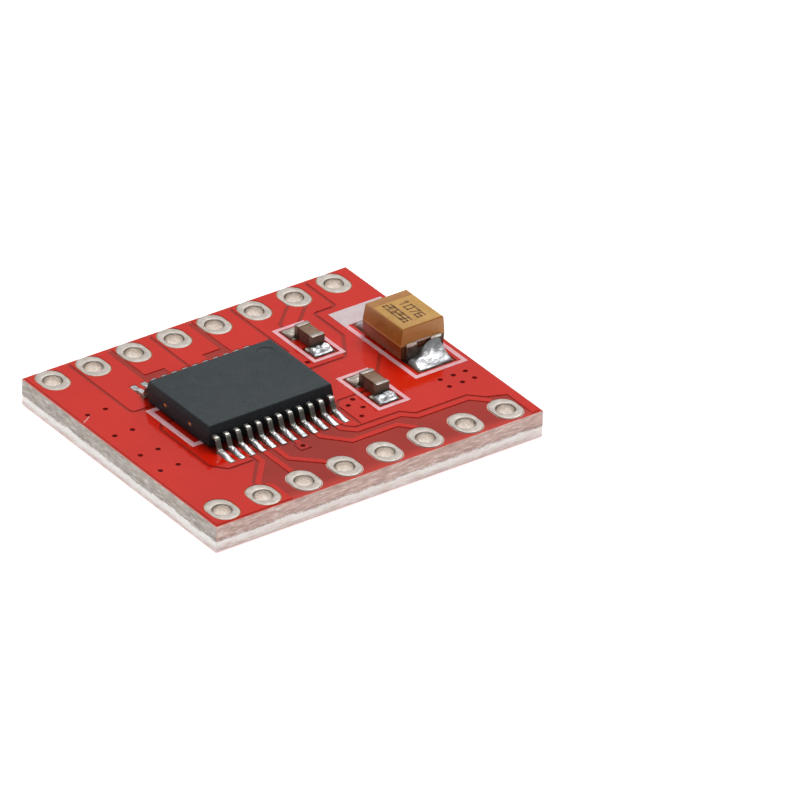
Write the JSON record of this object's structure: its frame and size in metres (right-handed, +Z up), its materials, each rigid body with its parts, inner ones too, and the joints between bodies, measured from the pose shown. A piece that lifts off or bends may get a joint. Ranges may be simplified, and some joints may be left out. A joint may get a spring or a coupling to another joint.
{
  "type": "dc motor driver module",
  "caption": "Small rectangular circuit board with two long rows of plated header holes, a gull-wing driver chip, ceramic capacitors and a tantalum capacitor, for driving small DC motors.",
  "frame": {"origin": "centre of the grid of header holes, on the plane under the board", "axes": "+X along the header rows, towards the tantalum capacitor; +Y across the board, towards the rear row; +Z up, out of the component side"},
  "size_m": [0.0205, 0.0175, 0.0035],
  "materials": {
    "fibreglass": "matte, cut edges fibrous",
    "copper": "bright, hidden under the solder mask",
    "solder_mask": "glossy red, semi-transparent",
    "legend": "matte, white tinted by the red mask",
    "tinned_copper": "satin tin over copper",
    "solder": "bright, smooth",
    "chip_moulding": "matte dark grey, finely textured",
    "lead_frame": "tin plated",
    "silicon": "hidden inside the chip",
    "ceramic": "matte brown",
    "ceramic_cap": "tin plated",
    "tantalum_moulding": "satin ochre with printed marks",
    "tantalum_slug": "hidden inside the tantalum capacitor"
  },
  "bodies": {
    "root": {"substrate": "fibreglass", "foil_top": "copper", "foil_bottom": "copper", "solder_mask_top": "solder_mask", "solder_mask_bottom": "solder_mask", "legend_ink": "legend", "via_barrels": "copper", "plated_hole_01": "tinned_copper", "plated_hole_02": "tinned_copper", "plated_hole_03": "tinned_copper", "plated_hole_04": "tinned_copper", "plated_hole_05": "tinned_copper", "plated_hole_06": "tinned_copper", "plated_hole_07": "tinned_copper", "plated_hole_08": "tinned_copper", "plated_hole_09": "tinned_copper", "plated_hole_10": "tinned_copper", "plated_hole_11": "tinned_copper", "plated_hole_12": "tinned_copper", "plated_hole_13": "tinned_copper", "plated_hole_14": "tinned_copper", "plated_hole_15": "tinned_copper", "plated_hole_16": "tinned_copper", "chip_body": "chip_moulding", "chip_paddle": "lead_frame", "chip_die": "silicon", "chip_lead_01": "lead_frame", "chip_lead_02": "lead_frame", "chip_lead_03": "lead_frame", "chip_lead_04": "lead_frame", "chip_lead_05": "lead_frame", "chip_lead_06": "lead_frame", "chip_lead_07": "lead_frame", "chip_lead_08": "lead_frame", "chip_lead_09": "lead_frame", "chip_lead_10": "lead_frame", "chip_lead_11": "lead_frame", "chip_lead_12": "lead_frame", "chip_lead_13": "lead_frame", "chip_lead_14": "lead_frame", "chip_lead_15": "lead_frame", "chip_lead_16": "lead_frame", "chip_lead_17": "lead_frame", "chip_lead_18": "lead_frame", "chip_lead_19": "lead_frame", "chip_lead_20": "lead_frame", "chip_lead_21": "lead_frame", "chip_lead_22": "lead_frame", "chip_lead_23": "lead_frame", "chip_lead_24": "lead_frame", "front_ceramic_body": "ceramic", "front_ceramic_caps": "ceramic_cap", "rear_ceramic_body": "ceramic", "rear_ceramic_caps": "ceramic_cap", "tantalum_body": "tantalum_moulding", "tantalum_slug": "tantalum_slug", "positive_terminal": "lead_frame", "negative_terminal": "lead_frame", "solder_joints": "solder"}
  },
  "joints": []
}
